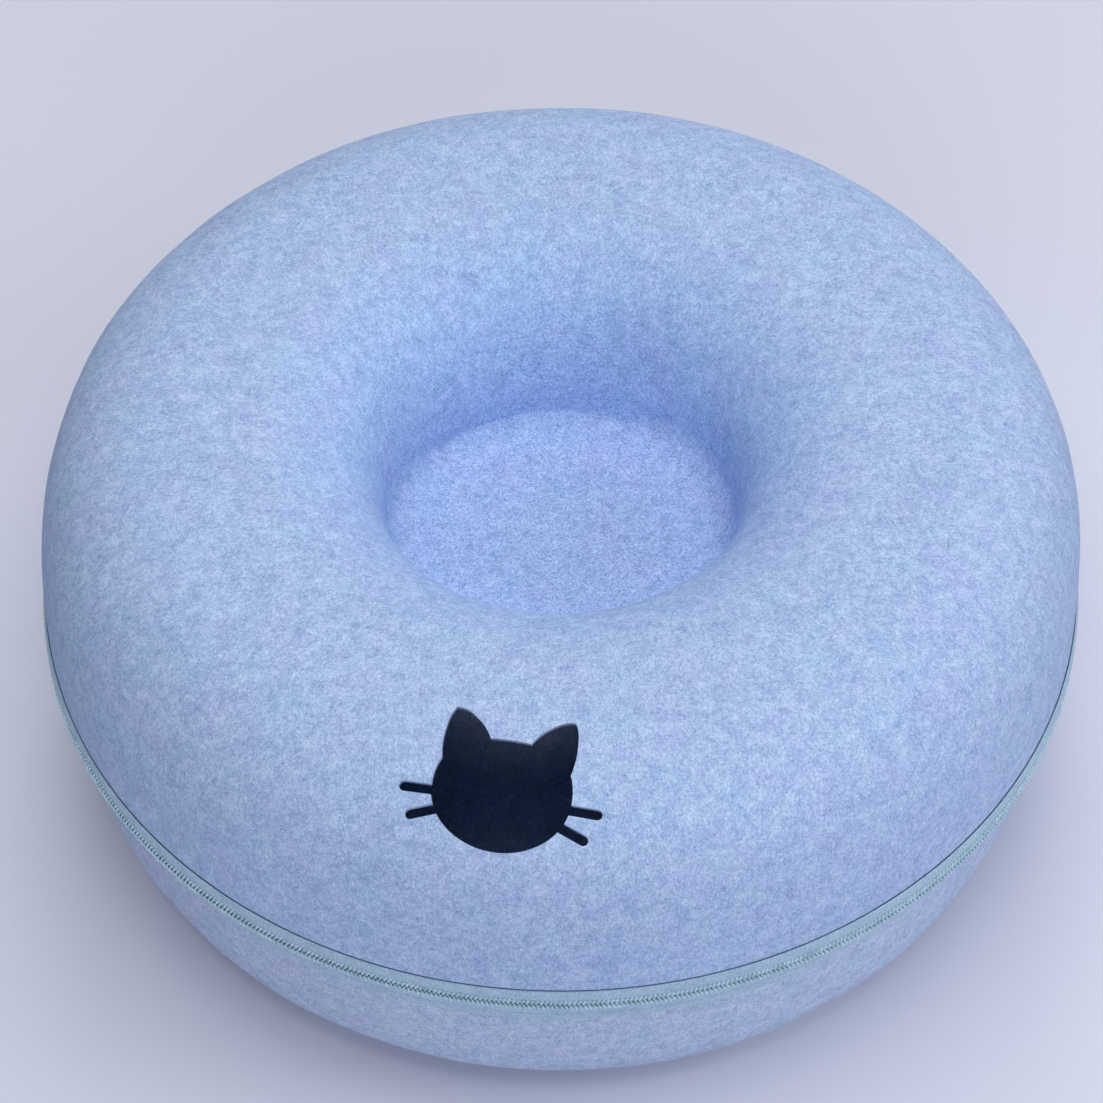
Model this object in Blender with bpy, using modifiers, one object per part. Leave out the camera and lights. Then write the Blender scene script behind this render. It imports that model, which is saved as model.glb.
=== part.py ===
# Donut cat tunnel: two moulded felt half shells, zipped together round the middle.
# Lengths are in metres and +Z is up. The origin is on the ring's axis at floor level,
# the peephole faces -Y and the entrance faces +Y.

import math

import bmesh
import bpy
from mathutils import Matrix, Vector

# Fits and cuts
fit_gap = 0.0003            # between pieces that touch
cut_overrun = 0.006         # how far a cutter stands past what it cuts
ring_steps = 72             # facets round the ring
curve_steps = 8             # facets in a quarter of a shell's section

# Felt shells
outer_radius = 0.250
tube_half_width = 0.086     # outer wall to the crest, level
felt_thickness = 0.004
upper_height = 0.105        # upper shell's edge to its crest
lower_height = 0.090        # floor to the lower shell's edge
zip_gap = 0.019             # between the two shells' edges
lower_taper = 0.008         # how far the lower shell's wall leans in on its way down
upper_squareness = 2.94     # power of the superellipse in the outer section
lower_squareness = 5.0
well_squareness = 2.8
foot_flat_depth = 0.0005    # pressed flat where the shell stands

# Dimple in the upper shell, and the recess under the lower one
dimple_floor_radius = 0.084
dimple_floor_rise = 0.0165  # dimple floor's top above the upper shell's edge
recess_roof_radius = 0.084

# Hook and loop patches between the two centres
patch_radius = 0.030
hook_thickness = 0.002
loop_thickness = 0.002
patch_edge_round = 0.0004

# Entrance
entrance_radius = 0.0725
entrance_facets = 36

# Peephole: a plain cat's head seen square on, with whisker slots
peephole_azimuth = math.radians(-6.7)   # from the front, towards -X
peephole_from_crest = 0.050             # level distance out from the crest
peephole_tilt = math.radians(-3.0)
peephole_cut_depth = 0.030
head_half_width = 0.031
head_half_height = 0.025
head_top_squareness = 2.5
head_chin_squareness = 2.0
head_facets = 40
ear_tip_x = 0.0265
ear_tip_y = 0.0375
ear_inner_x = 0.0085
ear_inner_y = 0.0235
ear_outer_x = 0.0284
ear_outer_y = 0.0120
ear_inner_bow = 0.0030
ear_outer_bow = 0.0019
ear_root_x = 0.0150
ear_root_y = 0.0040
ear_facets = 6
whisker_width = 0.0042
whisker_root_x = 0.022
upper_whisker_reach = 0.045
upper_whisker_y = -0.0024
upper_whisker_slope = 0.0
lower_whisker_reach = 0.0405
lower_whisker_y = -0.0085
lower_whisker_slope = math.radians(-19.0)
whisker_end_facets = 6

# Zip
tape_thickness = 0.0009
zip_below_edge = 0.012      # upper shell's edge down to the zip's middle
tape_half_width = 0.016     # zip's middle to a tape's sewn edge
tape_edge_offset = 0.0018   # tape's inner edge from the zip's middle
coil_edge_offset = 0.0007   # coil's inner side from the zip's middle
coil_width = 0.0030
coil_depth = 0.0024
coil_round = 0.0008
seam_thread = 0.0007
seam_from_edge = 0.0025     # seam from the tape's sewn edge
tape_end_arc = 0.004        # arc from the entrance to the tape's end
stop_arc = 0.0065           # to the middle of an end stop
slider_arc = 0.0170         # to the middle of the parked slider
coil_end_arc = 0.0255       # to the coil's end

# End stops
stop_length = 0.0025
stop_height = 0.0032
stop_wall = 0.0008

# Slider
slider_length = 0.013
slider_tail_half = 0.0050
slider_mouth_half = 0.0060
slider_corner = 0.0018
plate_thickness = 0.0011
flange_thickness = 0.0009
flange_length = 0.0085
running_clearance = 0.0006
web_thickness = 0.0008
web_length = 0.0055
slider_edge_round = 0.0002

# Crown and pull
crown_length = 0.0090
crown_clear_height = 0.0028
crown_width = 0.0024
crown_wall = 0.0010
pull_thickness = 0.0013
pull_bar = 0.0013
pull_width = 0.0070
pull_eye_width = 0.0034
pull_eye_length = 0.0056
pull_length = 0.030
pull_hole_length = 0.012
pull_hole_width = 0.0030
pull_round = 0.0018
pull_hole_round = 0.0010
pull_hole_from_end = 0.0030
corner_facets = 4

# Heights and radii that follow
lower_edge_z = lower_height
upper_edge_z = lower_edge_z + zip_gap
zip_z = upper_edge_z - zip_below_edge
crest_radius = outer_radius - tube_half_width
inner_radius = outer_radius - felt_thickness
dimple_floor_z = upper_edge_z + dimple_floor_rise
dimple_under_z = dimple_floor_z - felt_thickness
hook_top_z = dimple_under_z - fit_gap
loop_top_z = hook_top_z - hook_thickness - fit_gap
recess_top_z = loop_top_z - loop_thickness - fit_gap
tape_outer = inner_radius - fit_gap
tape_inner = tape_outer - tape_thickness
lower_radius = tape_inner - fit_gap
coil_inner = tape_outer + fit_gap
coil_outer = coil_inner + coil_depth
entrance_half_angle = math.asin(entrance_radius / outer_radius)


def emptyScene():
    for obj in list(bpy.data.objects):
        bpy.data.objects.remove(obj)


def makeCollection(name):
    collection = bpy.data.collections.new(name)
    bpy.context.scene.collection.children.link(collection)
    return collection


emptyScene()
parts = makeCollection("donut_cat_tunnel")
cutters = makeCollection("cutters")
peephole_cutters = makeCollection("peephole_cutters")


def makeMaterial(name, colour, roughness, metallic=0.0):
    made = bpy.data.materials.new(name)
    made.use_nodes = True
    shader = made.node_tree.nodes["Principled BSDF"]
    shader.inputs["Base Color"].default_value = (*colour, 1.0)
    shader.inputs["Roughness"].default_value = roughness
    shader.inputs["Metallic"].default_value = metallic
    made.diffuse_color = (*colour, 1.0)
    return made


felt_upper = makeMaterial("blue_felt_upper", (0.38, 0.50, 0.78), 0.95)
felt_lower = makeMaterial("blue_felt_lower", (0.36, 0.47, 0.74), 0.95)
tape_cloth = makeMaterial("mint_zip_tape", (0.40, 0.54, 0.62), 0.85)
coil_nylon = makeMaterial("mint_zip_coil", (0.33, 0.47, 0.50), 0.45)
thread_polyester = makeMaterial("seam_thread", (0.42, 0.52, 0.70), 0.6)
slider_metal = makeMaterial("slider_zinc", (0.45, 0.52, 0.56), 0.35, 0.9)
hook_nylon = makeMaterial("hook_patch_nylon", (0.30, 0.36, 0.48), 0.6)
loop_nylon = makeMaterial("loop_patch_nylon", (0.34, 0.41, 0.54), 0.9)


def addObject(name, data, collection, material=None):
    obj = bpy.data.objects.new(name, data)
    collection.objects.link(obj)
    if material:
        data.materials.append(material)
    return obj


def hideCutter(obj):
    obj.hide_render = True
    obj.display_type = "WIRE"
    return obj


# Turned shapes: a profile of (radius, height) points, run down the outer side
def turnProfile(name, profile, closed, material):
    mesh = bpy.data.meshes.new(name)
    count = len(profile)
    edges = [(i, i + 1) for i in range(count - 1)]
    if closed:
        edges.append((count - 1, 0))
    mesh.from_pydata([(r, 0.0, z) for r, z in profile], edges, [])
    obj = addObject(name, mesh, parts, material)
    screw = obj.modifiers.new("turn", "SCREW")
    screw.axis = "Z"
    screw.angle = 2 * math.pi
    screw.steps = ring_steps
    screw.render_steps = ring_steps
    screw.use_merge_vertices = True
    screw.merge_threshold = fit_gap / 10
    screw.use_smooth_shade = True
    return obj


def cutWith(obj, operand, name):
    cut = obj.modifiers.new(name, "BOOLEAN")
    cut.operation = "DIFFERENCE"
    cut.solver = "EXACT"
    if isinstance(operand, bpy.types.Collection):
        cut.operand_type = "COLLECTION"
        cut.collection = operand
    else:
        cut.object = operand


# One quarter of a superellipse as (level, upright) shares of its two half axes
def quarterCurve(power):
    points = []
    for i in range(curve_steps + 1):
        angle = i / curve_steps * math.pi / 2
        c, s = abs(math.cos(angle)), abs(math.sin(angle))
        reach = (c ** power + s ** power) ** (-1 / power)
        points.append((reach * c, reach * s))
    return points


def upperProfile():
    rise = upper_edge_z + upper_height - dimple_floor_z
    well = [(crest_radius - (crest_radius - dimple_floor_radius) * u, dimple_floor_z + rise * v)
            for u, v in quarterCurve(well_squareness)]
    wall = [(crest_radius + tube_half_width * u, upper_edge_z + upper_height * v)
            for u, v in quarterCurve(upper_squareness)]
    return [(0.0, dimple_floor_z)] + well + wall[::-1][1:]


def lowerProfile():
    drop = lower_height + foot_flat_depth
    half = lower_radius - crest_radius
    wall = [(crest_radius + half * u - lower_taper * v * u, max(lower_edge_z - drop * v, 0.0))
            for u, v in quarterCurve(lower_squareness)]
    depth = recess_top_z - felt_thickness + foot_flat_depth
    roof_z = recess_top_z - felt_thickness
    well = [(crest_radius - (crest_radius - recess_roof_radius) * u, max(roof_z - depth * v, 0.0))
            for u, v in quarterCurve(well_squareness)]
    return wall + well[::-1][1:] + [(0.0, roof_z)]


def addFelt(name, profile, material):
    shell = turnProfile(name, profile, False, material)
    wall = shell.modifiers.new("felt", "SOLIDIFY")
    wall.thickness = felt_thickness
    wall.offset = -1.0
    wall.use_even_offset = True
    return shell


upper_shell = addFelt("upper_shell", upperProfile(), felt_upper)
lower_shell = addFelt("lower_shell", lowerProfile(), felt_lower)


# Entrance: one round cut across the zip, at the back
def addEntranceCutter():
    depth = tube_half_width + cut_overrun
    bpy.ops.mesh.primitive_cylinder_add(
        vertices=entrance_facets, radius=entrance_radius, depth=depth,
        location=(0.0, crest_radius + depth / 2, zip_z), rotation=(math.pi / 2, 0.0, 0.0))
    cutter = bpy.context.object
    cutter.name = "entrance_cutter"
    for used in list(cutter.users_collection):
        used.objects.unlink(cutter)
    cutters.objects.link(cutter)
    return hideCutter(cutter)


entrance_cutter = addEntranceCutter()
cutWith(upper_shell, entrance_cutter, "entrance")
cutWith(lower_shell, entrance_cutter, "entrance")


# A flat closed outline, given in its own plane, extruded both ways and made a mesh
def extrudeOutline(name, outlines, half_depth, frame, collection, material=None):
    curve = bpy.data.curves.new(name + "_outline", "CURVE")
    curve.dimensions = "2D"
    curve.fill_mode = "BOTH"
    curve.extrude = half_depth
    for outline in outlines:
        spline = curve.splines.new("POLY")
        spline.points.add(len(outline) - 1)
        for point, (x, y) in zip(spline.points, outline):
            point.co = (x, y, 0.0, 1.0)
        spline.use_cyclic_u = True
    drawn = bpy.data.objects.new(name + "_outline", curve)
    cutters.objects.link(drawn)
    drawn.matrix_world = frame
    bpy.context.view_layer.update()
    evaluated = drawn.evaluated_get(bpy.context.evaluated_depsgraph_get())
    mesh = bpy.data.meshes.new_from_object(evaluated)
    mesh.materials.clear()
    work = bmesh.new()
    work.from_mesh(mesh)
    bmesh.ops.remove_doubles(work, verts=work.verts, dist=fit_gap / 10)
    bmesh.ops.recalc_face_normals(work, faces=work.faces)
    work.to_mesh(mesh)
    work.free()
    obj = addObject(name, mesh, collection, material)
    obj.matrix_world = drawn.matrix_world
    bpy.data.objects.remove(drawn)
    return obj


# Points on an arc from one point to another, bowed out to its left, without its last point
def bowedEdge(start, end, bow, facets):
    a, b = Vector(start), Vector(end)
    left = Vector((a.y - b.y, b.x - a.x)).normalized()
    points = []
    for i in range(facets):
        t = i / facets
        points.append(tuple(a.lerp(b, t) + left * bow * 4 * t * (1 - t)))
    return points


def headOutline():
    points = []
    for i in range(head_facets):
        angle = i / head_facets * 2 * math.pi
        c, s = math.cos(angle), math.sin(angle)
        power = head_top_squareness if s > 0 else head_chin_squareness
        reach = (abs(c) ** power + abs(s) ** power) ** (-1 / power)
        points.append((head_half_width * reach * c, head_half_height * reach * s))
    return points


def earOutline(side):
    inner = (side * ear_inner_x, ear_inner_y)
    tip = (side * ear_tip_x, ear_tip_y)
    outer = (side * ear_outer_x, ear_outer_y)
    root = (side * ear_root_x, ear_root_y)
    points = bowedEdge(inner, tip, side * ear_inner_bow, ear_facets)
    points += bowedEdge(tip, outer, side * ear_outer_bow, ear_facets)
    return points + [outer, root]


def whiskerOutline(side, reach, y, slope):
    half = whisker_width / 2
    run = (reach - half - whisker_root_x) / math.cos(slope)
    points = [(0.0, -half)]
    for i in range(whisker_end_facets + 1):
        angle = (i / whisker_end_facets - 0.5) * math.pi
        points.append((run + half * math.cos(angle), half * math.sin(angle)))
    points.append((0.0, half))
    turn = Matrix.Rotation(slope, 2)
    turned = [turn @ Vector(p) for p in points]
    return [(side * (whisker_root_x + p.x), y + p.y) for p in turned]


# The peephole's own plane: its place on the upper shell, its uphill and its outward normal
def peepholeFrame():
    share = peephole_from_crest / tube_half_width
    rise = (1 - share ** upper_squareness) ** (1 / upper_squareness)
    radius = crest_radius + peephole_from_crest
    out = Vector((math.sin(peephole_azimuth), -math.cos(peephole_azimuth), 0.0))
    level = share ** (upper_squareness - 1) / tube_half_width
    upright = rise ** (upper_squareness - 1) / upper_height
    normal = (out * level + Vector((0.0, 0.0, upright))).normalized()
    across = Vector((0.0, 0.0, 1.0)).cross(normal).normalized()
    uphill = normal.cross(across)
    centre = out * radius + Vector((0.0, 0.0, upper_edge_z + upper_height * rise))
    axes = Matrix((across, uphill, normal)).transposed().to_4x4()
    return Matrix.Translation(centre) @ axes @ Matrix.Rotation(peephole_tilt, 4, "Z")


def addPeephole():
    outlines = {"head": headOutline()}
    for side, label in ((-1, "left"), (1, "right")):
        outlines["ear_" + label] = earOutline(side)
        outlines["upper_whisker_" + label] = whiskerOutline(
            side, upper_whisker_reach, upper_whisker_y, upper_whisker_slope)
        outlines["lower_whisker_" + label] = whiskerOutline(
            side, lower_whisker_reach, lower_whisker_y, lower_whisker_slope)
    frame = peepholeFrame()
    for label, outline in outlines.items():
        name = "peephole_" + label
        hideCutter(extrudeOutline(name, [outline], peephole_cut_depth, frame, peephole_cutters))
    cutWith(upper_shell, peephole_cutters, "peephole")


addPeephole()


# Zip tapes, coils and seam threads: rings that stop short of the entrance
def addGapCutter(name, arc):
    half = outer_radius * math.sin(entrance_half_angle + arc / outer_radius)
    bpy.ops.mesh.primitive_cube_add(
        size=1.0, location=(0.0, outer_radius, zip_z))
    cutter = bpy.context.object
    cutter.name = name
    cutter.scale = (2 * half, tube_half_width, 2 * tape_half_width + 2 * cut_overrun)
    for used in list(cutter.users_collection):
        used.objects.unlink(cutter)
    cutters.objects.link(cutter)
    return hideCutter(cutter)


tape_gap_cutter = addGapCutter("tape_gap_cutter", tape_end_arc)
coil_gap_cutter = addGapCutter("coil_gap_cutter", coil_end_arc)


# A closed profile of (radius, height above the zip's middle), kept turning the right way below it
def zipRing(name, section, side, cutter, material):
    profile = [(r, zip_z + side * z) for r, z in section]
    if side < 0:
        profile.reverse()
    ring = turnProfile(name, profile, True, material)
    cutWith(ring, cutter, "entrance")
    return ring


def tapeSection():
    return [(tape_inner, tape_half_width), (tape_outer, tape_half_width),
            (tape_outer, tape_edge_offset), (tape_inner, tape_edge_offset)]


def coilSection():
    top = coil_edge_offset + coil_width
    return [(coil_inner, top), (coil_outer - coil_round, top), (coil_outer, top - coil_round),
            (coil_outer, coil_edge_offset + coil_round),
            (coil_outer - coil_round, coil_edge_offset), (coil_inner, coil_edge_offset)]


# The upper seam shows inside its tape, the lower one outside, where the tape laps over the felt
def threadSection(side):
    outside = tape_inner - fit_gap if side > 0 else tape_outer + fit_gap + seam_thread
    low = tape_half_width - seam_from_edge
    return [(outside - seam_thread, low + seam_thread), (outside, low + seam_thread),
            (outside, low), (outside - seam_thread, low)]


for side, half in ((1, "upper"), (-1, "lower")):
    zipRing(half + "_zip_tape", tapeSection(), side, tape_gap_cutter, tape_cloth)
    zipRing(half + "_zip_coil", coilSection(), side, coil_gap_cutter, coil_nylon)
    zipRing(half + "_seam_thread", threadSection(side), side, tape_gap_cutter, thread_polyester)


# Hook and loop patches at the two centres
def addPatch(name, top_z, thickness, material):
    edge = patch_radius - patch_edge_round
    low = top_z - thickness
    profile = [(0.0, top_z), (edge, top_z), (patch_radius, top_z - patch_edge_round),
               (patch_radius, low + patch_edge_round), (edge, low), (0.0, low)]
    return turnProfile(name, profile, False, material)


addPatch("hook_patch", hook_top_z, hook_thickness, hook_nylon)
addPatch("loop_patch", loop_top_z, loop_thickness, loop_nylon)


# A frame on the zip, seen from outside: X out, Y along the zip, Z up. The arc is counted from
# the entrance, on the side of -X unless side is -1
def zipFrame(arc, side=1):
    angle = math.pi / 2 + side * (entrance_half_angle + arc / outer_radius)
    return Matrix.Rotation(angle, 4, "Z") @ Matrix.Translation((0.0, 0.0, zip_z))


# Outlines in the plane of the frame's Y and Z, extruded along its X
facing_out = Matrix(((0, 0, 1, 0), (1, 0, 0, 0), (0, 1, 0, 0), (0, 0, 0, 1)))
# Outlines in the plane of the frame's X and Z, extruded along its Y
facing_along = Matrix(((1, 0, 0, 0), (0, 0, -1, 0), (0, 1, 0, 0), (0, 0, 0, 1)))
# Outlines in the plane of the frame's Y and X, extruded along its Z
facing_up = Matrix(((0, 1, 0, 0), (1, 0, 0, 0), (0, 0, 1, 0), (0, 0, 0, 1)))


# End stops: a clip folded over each tape's inner edge, at each end of the coil
def addEndStop(name, upright, side):
    outside = tape_outer + fit_gap + stop_wall
    inside = tape_inner - fit_gap - stop_wall
    near = tape_edge_offset - fit_gap - stop_wall
    far = near + stop_height
    slot_floor = tape_edge_offset - fit_gap
    outline = [(inside, near), (outside, near), (outside, far), (outside - stop_wall, far),
               (outside - stop_wall, slot_floor), (inside + stop_wall, slot_floor),
               (inside + stop_wall, far), (inside, far)]
    flipped = [(x, upright * y) for x, y in outline]
    return extrudeOutline(name, [flipped], stop_length / 2,
                          zipFrame(stop_arc, side) @ facing_along, parts, slider_metal)


for upright, half in ((1, "upper"), (-1, "lower")):
    for side, end in ((1, "left"), (-1, "right")):
        addEndStop(half + "_end_stop_" + end, upright, side)


def addEmpty(name, frame, parent=None):
    empty = bpy.data.objects.new(name, None)
    parts.objects.link(empty)
    empty.parent = parent
    empty.matrix_world = frame
    bpy.context.view_layer.update()
    return empty


def roundedOutline(low, high, corner):
    (x0, y0), (x1, y1) = low, high
    centres = [(x1 - corner, y0 + corner, -0.5), (x1 - corner, y1 - corner, 0.0),
               (x0 + corner, y1 - corner, 0.5), (x0 + corner, y0 + corner, 1.0)]
    points = []
    for cx, cy, start in centres:
        for i in range(corner_facets + 1):
            angle = (start + 0.5 * i / corner_facets) * math.pi
            points.append((cx + corner * math.cos(angle), cy + corner * math.sin(angle)))
    return points


slider_frame = zipFrame(slider_arc)
front_inner = coil_outer + running_clearance
front_outer = front_inner + plate_thickness
back_outer = tape_inner - running_clearance
back_inner = back_outer - plate_thickness


def plateOutline():
    half = slider_length / 2
    return [(-half, -slider_mouth_half + slider_corner), (-half, slider_mouth_half - slider_corner),
            (-half + slider_corner, slider_mouth_half), (0.0, slider_tail_half),
            (half - slider_corner, slider_tail_half), (half, slider_tail_half - slider_corner),
            (half, -slider_tail_half + slider_corner), (half - slider_corner, -slider_tail_half),
            (0.0, -slider_tail_half), (-half + slider_corner, -slider_mouth_half)]


def addBlock(name, low, high, frame):
    bpy.ops.mesh.primitive_cube_add(size=1.0)
    block = bpy.context.object
    block.name = name
    size = [b - a for a, b in zip(low, high)]
    middle = [(a + b) / 2 for a, b in zip(low, high)]
    block.data.transform(frame @ Matrix.Translation(middle) @ Matrix.Diagonal((*size, 1.0)))
    for used in list(block.users_collection):
        used.objects.unlink(block)
    cutters.objects.link(block)
    return hideCutter(block)


def joinWith(obj, other):
    joined = obj.modifiers.new(other.name, "BOOLEAN")
    joined.operation = "UNION"
    joined.solver = "EXACT"
    joined.object = other


# Slider: a front plate with two flanges over the coil, a back plate behind the tapes, and a web
# between the tapes that is thin enough to pass between the closed coils
def addSlider():
    axis = addEmpty("slider_run_axis", Matrix.Translation((0.0, 0.0, zip_z)))
    front_frame = slider_frame @ Matrix.Translation(((front_inner + front_outer) / 2, 0.0, 0.0))
    body = extrudeOutline("slider_body", [plateOutline()], plate_thickness / 2,
                          front_frame @ facing_out, parts, slider_metal)
    back_frame = slider_frame @ Matrix.Translation(((back_inner + back_outer) / 2, 0.0, 0.0))
    back = hideCutter(extrudeOutline("slider_back_plate", [plateOutline()], plate_thickness / 2,
                                     back_frame @ facing_out, cutters))
    tail = slider_length / 2 - slider_corner
    flange_reach = tape_outer + running_clearance
    flange_top = slider_tail_half
    sunk = plate_thickness / 2
    upper_flange = addBlock("slider_upper_flange",
                            (flange_reach, tail - flange_length, flange_top - flange_thickness),
                            (front_inner + sunk, tail, flange_top - slider_edge_round), slider_frame)
    lower_flange = addBlock("slider_lower_flange",
                            (flange_reach, tail - flange_length, -flange_top + slider_edge_round),
                            (front_inner + sunk, tail, -flange_top + flange_thickness), slider_frame)
    mouth = -slider_length / 2 + slider_corner
    web = addBlock("slider_web", (back_outer - sunk, mouth, -web_thickness / 2),
                   (front_inner + sunk, mouth + web_length, web_thickness / 2), slider_frame)
    for piece in (upper_flange, lower_flange, web, back):
        joinWith(body, piece)
    placed = body.matrix_world.copy()
    body.parent = axis
    body.matrix_world = placed
    return axis, body


slider_axis, slider_body = addSlider()


# Crown: a small arch along the slider, which the pull's bar passes under
def addCrown():
    base = front_outer + fit_gap
    half = crown_length / 2
    top = base + crown_clear_height + crown_wall
    outer = [(-half, base), (-half, top - crown_wall), (-half + crown_wall, top),
             (half - crown_wall, top), (half, top - crown_wall), (half, base)]
    inner = [(half - crown_wall, base), (half - crown_wall, top - crown_wall),
             (-half + crown_wall, top - crown_wall), (-half + crown_wall, base)]
    crown = extrudeOutline("slider_crown", [outer + inner], crown_width / 2,
                           slider_frame @ facing_up, parts, slider_metal)
    placed = crown.matrix_world.copy()
    crown.parent = slider_axis
    crown.matrix_world = placed
    return crown


addCrown()


# Pull: a flat tab with an eye, whose end bar lies under the crown and is the swing axis
def addPull():
    bar_x = front_outer + fit_gap + crown_clear_height / 2
    frame = slider_frame @ Matrix.Translation((bar_x, 0.0, 0.0))
    axis = addEmpty("pull_swing_axis", frame, slider_axis)
    start = -pull_bar / 2
    half = pull_width / 2
    edge = roundedOutline((start, -half), (pull_length, half), pull_round)
    eye_start = pull_bar / 2
    eye = roundedOutline((eye_start, -pull_eye_width / 2),
                         (eye_start + pull_eye_length, pull_eye_width / 2), pull_hole_round)
    hole_end = pull_length - pull_hole_from_end
    hole = roundedOutline((hole_end - pull_hole_length, -pull_hole_width / 2),
                          (hole_end, pull_hole_width / 2), pull_hole_round)
    tab = extrudeOutline("pull_tab", [edge, eye, hole], pull_thickness / 2,
                         frame @ facing_out, parts, slider_metal)
    placed = tab.matrix_world.copy()
    tab.parent = axis
    tab.matrix_world = placed
    return tab


addPull()

for obj in parts.objects:
    if obj.type == "MESH" and not obj.modifiers:
        for face in obj.data.polygons:
            face.use_smooth = False

coil_turn = 2 * math.pi - 2 * (entrance_half_angle + slider_arc / outer_radius)
print("height", round(upper_edge_z + upper_height, 4), "zip plane", round(zip_z, 4))
print("slider runs", round(math.degrees(coil_turn), 2), "degrees")
print("pull axis", [round(v, 5) for v in bpy.data.objects["pull_swing_axis"].matrix_world.translation])
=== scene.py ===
import math
import random

import bmesh
import bpy
from mathutils import Matrix, Vector, noise


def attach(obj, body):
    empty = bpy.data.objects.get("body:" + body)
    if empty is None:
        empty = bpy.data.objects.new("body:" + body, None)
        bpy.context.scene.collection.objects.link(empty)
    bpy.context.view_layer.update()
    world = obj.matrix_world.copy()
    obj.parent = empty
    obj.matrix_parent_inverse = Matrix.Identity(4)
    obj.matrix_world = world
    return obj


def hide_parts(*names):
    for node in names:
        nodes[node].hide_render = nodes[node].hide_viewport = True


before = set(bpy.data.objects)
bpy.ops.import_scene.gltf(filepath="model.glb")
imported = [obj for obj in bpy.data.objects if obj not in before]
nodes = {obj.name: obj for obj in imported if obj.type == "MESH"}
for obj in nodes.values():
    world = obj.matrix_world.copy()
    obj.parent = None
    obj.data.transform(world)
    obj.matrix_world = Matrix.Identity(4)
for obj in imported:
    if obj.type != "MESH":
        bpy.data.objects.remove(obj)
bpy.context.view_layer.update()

# Donut cat tunnel: felt half shells, a coil zip round the middle, a dimple and a peephole.
# Metres throughout; millimetres are written as a number times mm.

mm = 0.001
bpy.ops.object.select_all(action="DESELECT")
noise.seed_set(4)             # the same unevenness each run

ring = {
    "outer": 250 * mm,        # outside of the ring
    "halfTube": 86 * mm,      # outer wall to the crest
    "felt": 4 * mm,
    "edgeRound": 1.3 * mm,    # the felt's pressed edge beside the zip
    "edgeFacets": 8,
    "edgeClear": 1.2,         # rows of the wall start this many edge radii from the edge
    "steps": 300,             # facets round the ring
    "discRows": 26,           # rows from the dimple's wall to its middle
    "merge": 0.02 * mm,
}
ring["crest"] = ring["outer"] - ring["halfTube"]

upperShell = {
    "edge": 109 * mm,         # height of the felt's edge above the floor
    "height": 105 * mm,
    "square": 2.94,
    "wellRadius": 84 * mm,
    "wellSquare": 2.8,
    "floor": 125.5 * mm,
    "outline": 46,            # points on each quarter of the section
    "lump": 0.7 * mm,         # moulding unevenness
}

dimple = {
    "crispTurn": -12.0,       # middle of the sharp crease, degrees from the back towards +X
    "crispHalf": 26.0,
    "crispFade": 34.0,
    "sharp": 2.2 * mm,        # fillet at the crease
    "soft": 17 * mm,          # fillet where the floor runs into the wall
    "beadRadius": 82.2 * mm,
    "beadRise": 0.55 * mm,
    "beadWidth": 1.0 * mm,
    "beadAbove": 0.1 * mm,    # only points this close to the floor or lower rise with the bead
    "innerDrop": 2 * mm,      # points this far under the floor, or this far behind the wall,
    "innerReach": 2.3 * mm,   # belong to the felt's inner face
    "wallRows": (0.5, 1.0, 1.6, 2.2),                  # mm above the floor, close rows for the crease
    "wallClear": 2.8 * mm,
    "floorRows": (0.4, 0.8, 1.2, 1.6, 2.0, 2.5, 3.1),  # mm in from the wall
    "floorClear": 3.8 * mm,
    "axisClear": 1 * mm,      # the fillet leaves the points nearer the axis than this alone
}

unevenness = {"fade": 30 * mm, "broad": 75 * mm, "narrow": 32 * mm, "narrowShare": 0.5}

lowerShell = {
    "edge": 90 * mm,
    "height": 90 * mm,
    "outer": 244.5 * mm,
    "taper": 8 * mm,          # the wall leans in on its way down
    "square": 5.0,
    "wellRadius": 84 * mm,
    "wellSquare": 2.8,
    "roof": 116.6 * mm,       # top of the raised centre
    "sunk": 0.5 * mm,         # pressed flat on the floor
    "outline": 40,
    "lump": 0.7 * mm,
}

zipLine = {
    "middle": 97 * mm,
    "tapeOuter": 245.7 * mm,
    "tapeThick": 0.9 * mm,
    "tapeEndArc": 4 * mm,     # along the zip, from the entrance's rim
    "coilEndArc": 25.5 * mm,
    "weld": 0.002 * mm,       # points this close in a small piece become one
}

entrance = {"radius": 72.5 * mm, "facets": 96, "overrun": 10 * mm}
zipLine["entranceAngle"] = math.asin(entrance["radius"] / ring["outer"])

peephole = {
    "azimuth": math.radians(-7.1),
    "fromCrest": 49.8 * mm,
    "tilt": math.radians(-3),
    "depth": 30 * mm,
    "depthStep": 0.4 * mm,    # no two cutters end in the same plane
    "headFacets": 96,
    "headWidth": 62 * mm,
    "headHeight": 50 * mm,
    "topSquare": 2.5,
    "chinSquare": 2.0,
    "earFacets": 12,
    "earTip": (26.5 * mm, 37.5 * mm),
    "earInner": (8.5 * mm, 23.5 * mm),
    "earOuter": (28.4 * mm, 12 * mm),
    "earRoot": (15 * mm, 4 * mm),
    "innerBow": 2.9 * mm,
    "outerBow": 2.1 * mm,
    "plainEnd": 2.0,          # power of an ear's side towards the head: a plain arc
    "bluntEnd": 3.3,          # and towards its tip
    "whiskerFacets": 12,
    "whiskerWidth": 4.6 * mm,
    "whiskerRoot": 22 * mm,
    # end, height at the root, slope
    "whiskers": ((45 * mm, -2.4 * mm, 0.0), (40.5 * mm, -8.5 * mm, math.radians(-19))),
}

photoCamera = {
    "elevation": 49.97,
    "distance": 1.943,
    "target": (-4.5 * mm, 0.0, 117.5 * mm),
    "focalPixels": 4000,
    "framePixels": 1103,
    "sensor": 36.0,
}


def makeActive(obj):
    bpy.ops.object.select_all(action="DESELECT")
    bpy.context.view_layer.objects.active = obj
    obj.select_set(True)


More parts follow.
